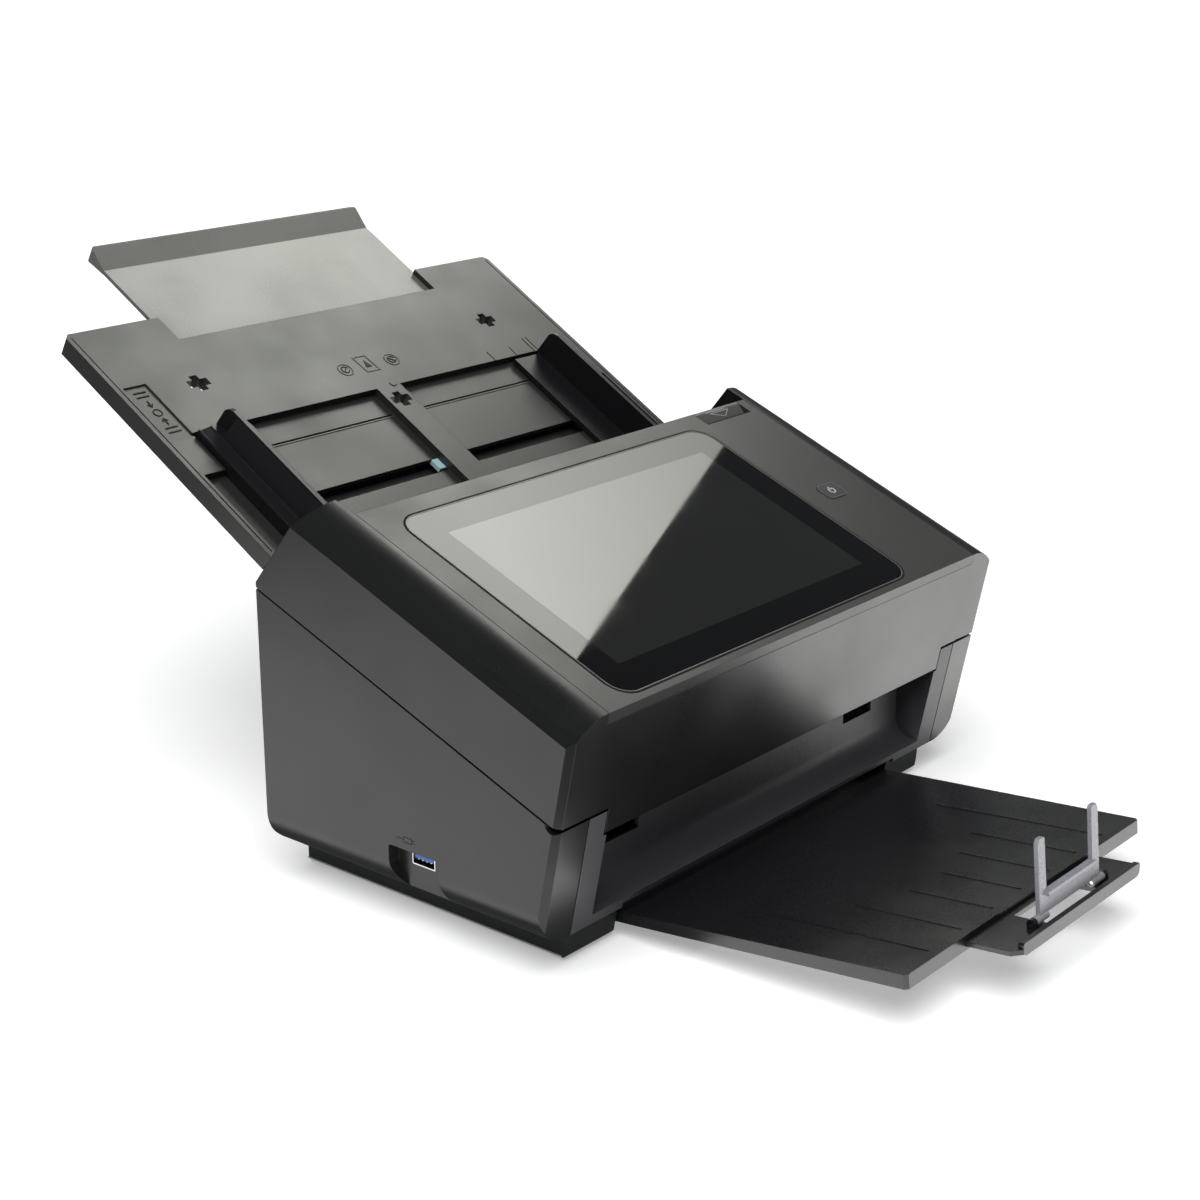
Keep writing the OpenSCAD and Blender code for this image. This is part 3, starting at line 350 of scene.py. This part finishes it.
METALS = {
    "steel": {"colour": (0.60, 0.61, 0.63), "rough": 0.34, "brushed": (1, 0.05, 1)},
    "shaft_steel": {"colour": (0.68, 0.69, 0.71), "rough": 0.20, "brushed": (0.02, 1, 1)},
    "bush_bronze": {"colour": (0.60, 0.42, 0.20), "rough": 0.38},
    "motor_metal": {"colour": (0.42, 0.43, 0.44), "rough": 0.36, "brushed": (0.05, 1, 1)},
    "port_metal": {"colour": (0.66, 0.67, 0.69), "rough": 0.25},
}


def clear_glass():
    made, tree, shader = principled("clear_glass")
    shader.inputs["Base Color"].default_value = (0.75, 0.86, 0.83, 1)
    shader.inputs["Transmission Weight"].default_value = 0.9
    coords = node(tree, "ShaderNodeTexCoord").outputs["Object"]
    tree.links.new(ranged(tree, noise(tree, coords, 60.0, 3.0), 0.02, 0.09), shader.inputs["Roughness"])
    return made


def smoky_plastic():
    made, tree, shader = principled("smoky_plastic")
    shader.inputs["Transmission Weight"].default_value = 0.25
    shader.inputs["IOR"].default_value = 1.46
    coords = node(tree, "ShaderNodeTexCoord").outputs["Object"]
    clouds = noise(tree, coords, 90.0, 3.0)
    tone = mixed(tree, clouds, (0.30, 0.30, 0.335, 1), (0.36, 0.36, 0.395, 1))
    tree.links.new(tone, shader.inputs["Base Color"])
    tree.links.new(ranged(tree, clouds, 0.22, 0.34), shader.inputs["Roughness"])
    soft = node(tree, "ShaderNodeBevel", Radius=EDGE_RADIUS)
    tree.links.new(soft.outputs[0], shader.inputs["Normal"])
    return made


def dark_screen(name, colour, level):
    """Dark glass over a black print or over the display, with faint smears in its gloss."""
    made, tree, shader = principled(name)
    shader.inputs["Specular IOR Level"].default_value = level
    coords = node(tree, "ShaderNodeTexCoord").outputs["Object"]
    smears = noise(tree, coords, 35.0, 4.0)
    tree.links.new(ranged(tree, smears, 0.015, 0.045), shader.inputs["Roughness"])
    tone = mixed(tree, smears, shade(colour, 0.85), shade(colour, 1.15))
    tree.links.new(tone, shader.inputs["Base Color"])
    return made


MATERIALS = {name: plastic(name, **look) for name, look in PLASTICS.items()}
MATERIALS.update({name: metal(name, **look) for name, look in METALS.items()})
MATERIALS["clear_glass"] = clear_glass()
MATERIALS["smoky_plastic"] = smoky_plastic()
MATERIALS["screen"] = dark_screen("screen", (0.0035, 0.0035, 0.004), 0.38)
MATERIALS["display_area"] = dark_screen("display_area", (0.013, 0.014, 0.012), 0.62)


def smooth_group():
    """A modifier that joins the faces' shared corners and shades the gentle edges smooth."""
    group = bpy.data.node_groups.new("smooth_by_angle", "GeometryNodeTree")
    group.interface.new_socket("Geometry", in_out="INPUT", socket_type="NodeSocketGeometry")
    group.interface.new_socket("Geometry", in_out="OUTPUT", socket_type="NodeSocketGeometry")
    start, end = group.nodes.new("NodeGroupInput"), group.nodes.new("NodeGroupOutput")
    merge = group.nodes.new("GeometryNodeMergeByDistance")
    merge.inputs["Distance"].default_value = MERGE_DISTANCE
    faces = group.nodes.new("GeometryNodeSetShadeSmooth")
    faces.domain = "FACE"
    edges = group.nodes.new("GeometryNodeSetShadeSmooth")
    edges.domain = "EDGE"
    edges.inputs["Shade Smooth"].default_value = False
    angle = group.nodes.new("GeometryNodeInputMeshEdgeAngle")
    sharp = group.nodes.new("FunctionNodeCompare")
    sharp.operation = "GREATER_THAN"
    sharp.inputs[1].default_value = math.radians(SHARP_ANGLE)
    link = group.links.new
    link(start.outputs[0], merge.inputs[0])
    link(merge.outputs[0], faces.inputs[0])
    link(faces.outputs[0], edges.inputs[0])
    link(angle.outputs["Unsigned Angle"], sharp.inputs[0])
    link(sharp.outputs[0], edges.inputs["Selection"])
    link(edges.outputs[0], end.inputs[0])
    return group


SMOOTH = smooth_group()

# Nodes whose surface differs a little from the others in their slot
OWN_FINISH = {"release_lever": "lever_plastic", "base_plinth": "plinth_plastic"}


def finish_cad_nodes():
    slot_of = {p["node"]: p["material_slot"] for p in RECORD["subparts"]}
    for name, piece in NODES.items():
        made = MATERIALS[OWN_FINISH.get(name, slot_of[name])]
        if not piece.material_slots:
            piece.data.materials.append(made)
        for place in piece.material_slots:
            place.material = made
        modifier = piece.modifiers.new("smooth", "NODES")
        modifier.node_group = SMOOTH


# ---------- small moulded and printed details ----------

def slope_frame(y, z, degrees):
    """A frame whose second axis rises to the rear by the angle, with its origin on the line (y, z)."""
    turn = Matrix.Rotation(math.radians(degrees), 4, "X")
    return Matrix.Translation((0, y * MM, z * MM)) @ turn @ Matrix.Scale(MM, 4)


def left_frame(x):
    """A frame on the left side, seen from outside: the first axis to the front, the second up."""
    turn = Matrix(((0, 0, -1, 0), (-1, 0, 0, 0), (0, 1, 0, 0), (0, 0, 0, 1)))
    return Matrix.Translation((x * MM, 0, 0)) @ turn @ Matrix.Scale(MM, 4)


ON_TOP = slope_frame(-115.4, 118.1, 21.75)
ON_PATH = slope_frame(206.3, 226.6, 30.5)


def prisms(name, body, slot, material, place, outlines, low, high):
    """One piece of closed prisms. Each outline is a loop of corners, which rises from low to high."""
    shape = bmesh.new()
    for outline in outlines:
        bottom = [shape.verts.new(place @ Vector((x, y, low))) for x, y in outline]
        top = [shape.verts.new(place @ Vector((x, y, high))) for x, y in outline]
        shape.faces.new(bottom[::-1])
        shape.faces.new(top)
        for i in range(len(outline)):
            j = (i + 1) % len(outline)
            shape.faces.new((bottom[i], bottom[j], top[j], top[i]))
    bmesh.ops.recalc_face_normals(shape, faces=shape.faces)
    finish_piece(name, shape, body, material)


def finish_piece(name, shape, body, material):
    mesh = bpy.data.meshes.new(name)
    shape.to_mesh(mesh)
    shape.free()
    piece = bpy.data.objects.new(name, mesh)
    bpy.context.scene.collection.objects.link(piece)
    mesh.materials.append(MATERIALS[material])
    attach(piece, body)


def arc(cx, cy, radius, start, end, steps):
    """Points along a part of a circle, between two angles in degrees."""
    angles = [math.radians(start + (end - start) * i / steps) for i in range(steps + 1)]
    return [(cx + radius * math.cos(a), cy + radius * math.sin(a)) for a in angles]


def rounded_loop(cx, cy, w, h, r, steps=8):
    """The corners of a rounded rectangle, anticlockwise."""
    loop = []
    for sx, sy, start in [(1, 1, 0), (-1, 1, 90), (-1, -1, 180), (1, -1, 270)]:
        loop += arc(cx + sx * (w / 2 - r), cy + sy * (h / 2 - r), r, start, start + 90, steps)
    return loop


def ring(name, body, slot, material, place, outer, inner, low, high):
    """A closed frame between two loops with the same number of corners."""
    shape = bmesh.new()
    rows = [
        [shape.verts.new(place @ Vector((x, y, h))) for x, y in loop]
        for loop, h in [(outer, low), (outer, high), (inner, high), (inner, low)]
    ]
    count = len(outer)
    for k in range(4):
        a, b = rows[k], rows[(k + 1) % 4]
        for i in range(count):
            j = (i + 1) % count
            shape.faces.new((a[i], a[j], b[j], b[i]))
    bmesh.ops.recalc_face_normals(shape, faces=shape.faces)
    finish_piece(name, shape, body, material)


def bar(x0, y0, x1, y1, width):
    """A stroke between two points as a four-cornered outline."""
    run = Vector((x1 - x0, y1 - y0)).normalized() * width / 2
    right = [(x0 + run.y, y0 - run.x), (x1 + run.y, y1 - run.x)]
    left = [(x1 - run.y, y1 + run.x), (x0 - run.y, y0 + run.x)]
    return right + left


def box_outline(x0, y0, x1, y1):
    return [(x0, y0), (x1, y0), (x1, y1), (x0, y1)]


def stroke_arc(cx, cy, radius, width, start, end, steps=20):
    """A curved stroke as one closed outline."""
    outside = arc(cx, cy, radius + width / 2, start, end, steps)
    return outside + arc(cx, cy, radius - width / 2, end, start, steps)


# The screen's glass on the panel: its middle, its size and the radius of its corners
SCREEN_AT = (-18, 71.5)
SCREEN_SIZE = (210.0, 133.0)
SCREEN_CORNER = 10.0
DISPLAY_CORNERS = (-107.8, 21, 69.5, 122)
RIM_WIDTH = 0.5
JOINT_WIDTH = 1.0

BUTTON_AT = (110.5, 70)
# The marks on the button reach from and to these heights over the panel
ON_BUTTON = (0.2, 0.42)

# The lever's sloping face on the panel: its place up the slope, its depth and its tilt
LEVER_FACE = (0, 142.6, -2.6)
LEVER_TILT = 27.5

# The socket's shell, its wall and the spacing of its contacts
PORT_SHELL = (13.3, 5.8)
PORT_WALL = 0.5
CONTACT_PLACES = (-3.6, -1.2, 1.2, 3.6)
# A plain plug from its cord to its two pins, as strokes from the middle of its back
PLUG_STROKES = [
    (-4.3, 0, 0, 0),
    (0, 1.2, 0, -1.2),
    (0, 1.2, 4.5, 1.2),
    (0, -1.2, 4.5, -1.2),
    (4.5, 1.2, 4.5, -1.2),
    (4.5, 0.6, 6.4, 0.6),
    (4.5, -0.6, 6.4, -0.6),
]
PLUG_STROKE_WIDTH = 0.45

# The painted highlight line at the plinth's foot: how far it stands out, and its width
PLINTH_LINE_PROUD = 0.1
PLINTH_LINE_WIDTH = 0.4

# The column of marks at the input tray's left edge, and the row of icons in its middle
FIELD_COLUMN = -132.1
ICON_ROW = -60
# From and to which height over the tray the marks in the sunk field and the icons reach
IN_FIELD = (-0.9, -0.55)
ON_TRAY = (-0.1, 0.22)


def around_screen(margin):
    """The outline of the screen's glass, grown by the margin."""
    width, height = SCREEN_SIZE
    return rounded_loop(*SCREEN_AT, width + 2 * margin, height + 2 * margin, SCREEN_CORNER + margin)


def screen_details():
    # The display behind the glass shows as a slightly paler field
    field = [box_outline(*DISPLAY_CORNERS)]
    prisms("display_field", "cover", "screen", "display_area", ON_TOP, field, -0.1, 0.03)
    # A black joint round the glass, and inside it a thin bright ring that paints the highlight on the
    # opening's edge
    glass, rim, joint = [around_screen(m) for m in (0, RIM_WIDTH, RIM_WIDTH + JOINT_WIDTH)]
    ring("screen_joint", "cover", "panel_plastic", "black_joint", ON_TOP, joint, rim, -0.4, 0.1)
    ring("screen_rim_highlight", "cover", "panel_plastic", "painted_edge_highlight", ON_TOP, rim, glass, -0.4, 0.14)


def button_details():
    """The button's rim as a painted highlight ring, and an open ring with a stroke through its gap."""
    x, y = BUTTON_AT
    outer, inner = rounded_loop(x, y, 15.0, 11.0, 3.0), rounded_loop(x, y, 14.0, 10.0, 2.6)
    ring("button_rim_highlight", "button", "button_plastic", "painted_edge_highlight", ON_TOP, outer, inner, *ON_BUTTON)
    glyph = [stroke_arc(x, y, 1.9, 0.55, 125, 415), bar(x, y + 0.4, x, y + 2.9, 0.6)]
    prisms("power_glyph", "button", "button_plastic", "pale_print", ON_TOP, glyph, *ON_BUTTON)


def lever_details():
    """A raised triangle and a bar on the lever's sloping face, and the dark line in front of it."""
    tilt = Matrix.Rotation(math.radians(LEVER_TILT), 4, "X")
    on_lever = ON_TOP @ Matrix.Translation(LEVER_FACE) @ tilt
    corners = [(106, 4.5), (121, 4.5), (116.5, 1.2)]
    sides = [bar(*corners[i], *corners[(i + 1) % 3], 0.45) for i in range(3)]
    prisms("lever_triangle", "latch", "panel_plastic", "edge_light", on_lever, sides, -0.1, 0.22)
    ridge = [box_outline(103, 5.1, 118.5, 5.5)]
    prisms("lever_ridge", "latch", "panel_plastic", "edge_light", on_lever, ridge, -0.1, 0.3)
    edge = [box_outline(95.6, 139.1, 131.3, 139.7)]
    prisms("lever_gap", "cover", "panel_plastic", "black_joint", ON_TOP, edge, -0.1, 0.03)


def port_details():
    """The blue tongue and its contacts, the socket's bright frame and a plain plug mark above."""
    low, high = [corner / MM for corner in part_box("usb_port")]
    side = left_frame(low.x)
    front, middle = -(low.y + high.y) / 2, (low.z + high.z) / 2
    width, height = PORT_SHELL
    outer = rounded_loop(front, middle, width, height, 0.6)
    inner = rounded_loop(front, middle, width - 2 * PORT_WALL, height - 2 * PORT_WALL, 0.4)
    ring("port_frame", "base", "port_metal", "port_metal", side, outer, inner, -0.3, 0.12)
    contacts = [
        box_outline(front + x - 0.5, middle - 0.4, front + x + 0.5, middle) for x in CONTACT_PLACES
    ]
    prisms("port_contacts", "base", "port_metal", "port_metal", side, contacts, -4.0, -0.6)
    tongue = [box_outline(front - 5.6, middle, front + 5.6, middle + 1.9)]
    prisms("port_tongue", "base", "port_metal", "port_blue", side, tongue, -4.0, -0.3)
    outside = left_frame(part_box("left_side_cover")[0].x / MM)
    x, z = front - 5.6, middle + 10.4
    mark = [bar(x + x0, z + z0, x + x1, z + z1, PLUG_STROKE_WIDTH) for x0, z0, x1, z1 in PLUG_STROKES]
    prisms("port_mark", "base", "shell_plastic", "tray_mark", outside, mark, -0.2, 0.04)


def plinth_details():
    """A painted highlight line along the plinth's lower edge, on both sides."""
    low, high = [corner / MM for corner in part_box("base_plinth")]
    starts = (low.x - PLINTH_LINE_PROUD, high.x + PLINTH_LINE_PROUD - PLINTH_LINE_WIDTH)
    lines = [box_outline(x, low.y + 5, x + PLINTH_LINE_WIDTH, high.y - 2) for x in starts]
    bottom, top = low.z + 0.1, low.z + 0.8
    upright = Matrix.Scale(MM, 4)
    prisms("plinth_edge_highlight", "base", "shell_plastic", "edge_light", upright, lines, bottom, top)


def tray_details():
    """Small marks of the input tray, in its sunk field and on its surface, and its recess ribs."""
    # A ring with an arrow from each side, between two pairs of lines
    marks = [box_outline(-135.6, s, -128.6, s + 0.8) for s in (-45.5, -48.5, -70.5, -73.5)]
    marks += [bar(FIELD_COLUMN, s, FIELD_COLUMN, s - 4, 0.6) for s in (-51, -64)]
    for wing, tip in ((-53.4, -55.4), (-65.6, -63.6)):
        marks += [bar(FIELD_COLUMN + x, wing, FIELD_COLUMN, tip, 0.5) for x in (-1.5, 1.5)]
    marks += [stroke_arc(FIELD_COLUMN, -59.5, 2.2, 0.5, 0, 360)]
    prisms("tray_field_marks", "tray", "tray_plastic", "tray_mark", ON_PATH, marks, *IN_FIELD)
    # Two open rings with a stroke, a triangle between them and a small arc below
    marks = [stroke_arc(x, ICON_ROW, 2.2, 0.5, 20, 340) for x in (-15, 17)]
    marks += [bar(-16.2, ICON_ROW - 1.2, -13.8, ICON_ROW + 1.2, 0.5)]
    marks += [bar(15.8, ICON_ROW + 1.2, 18.2, ICON_ROW - 1.2, 0.5)]
    marks += [[(-1.6, ICON_ROW - 1.5), (2.0, ICON_ROW - 1.5), (0.2, ICON_ROW + 3.5)]]
    marks += [stroke_arc(3.9, -76, 1.8, 0.5, 150, 330)]
    prisms("tray_icons", "tray", "tray_plastic", "tray_mark", ON_PATH, marks, *ON_TRAY)
    # A fine raised rib below the groove in each recess, paler than the tray to paint the highlight along its
    # top
    ribs = [box_outline(-91, -93.9, -9, -93.2), box_outline(9, -93.9, 91, -93.2)]
    prisms("recess_ribs", "tray", "tray_plastic", "raised_rib_highlight", ON_PATH, ribs, -4.3, -3.7)


def finish_details():
    screen_details()
    button_details()
    lever_details()
    port_details()
    tray_details()
    plinth_details()


make_camera()
make_studio()
finish_cad_nodes()
finish_details()
